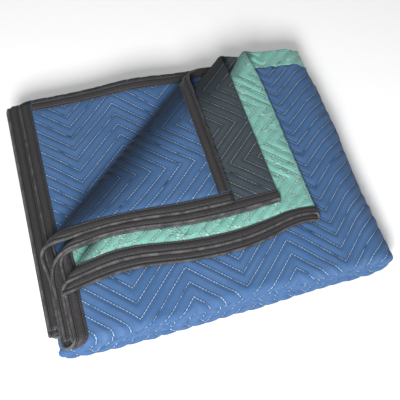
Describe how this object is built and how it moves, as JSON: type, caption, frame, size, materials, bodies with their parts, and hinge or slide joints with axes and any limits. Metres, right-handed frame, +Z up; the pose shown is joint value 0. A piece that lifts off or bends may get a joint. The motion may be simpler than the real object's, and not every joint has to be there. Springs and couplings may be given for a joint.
{
  "type": "moving blanket",
  "caption": "Quilted moving blanket folded into a flat stack, one corner of its top bunch turned back to show the coloured panels.",
  "frame": {"origin": "middle of the folded stack's footprint, on the surface it lies on", "axes": "+Z up, +X toward the closed right fold, +Y toward the far side, away from the viewer"},
  "size_m": [0.4602, 0.4304, 0.0864],
  "materials": {
    "blue_cloth": "matt woven cloth, quilted",
    "green_cloth": "satin woven cloth, quilted",
    "dark_cloth": "matt woven cloth, quilted",
    "binding_tape": "matt woven tape"
  },
  "bodies": {
    "root": {"pad_blue": "blue_cloth", "pad_green": "green_cloth", "pad_dark": "dark_cloth", "binding_top_side": "binding_tape", "binding_second_side": "binding_tape", "binding_free_end": "binding_tape", "binding_hidden_end": "binding_tape"}
  },
  "joints": []
}
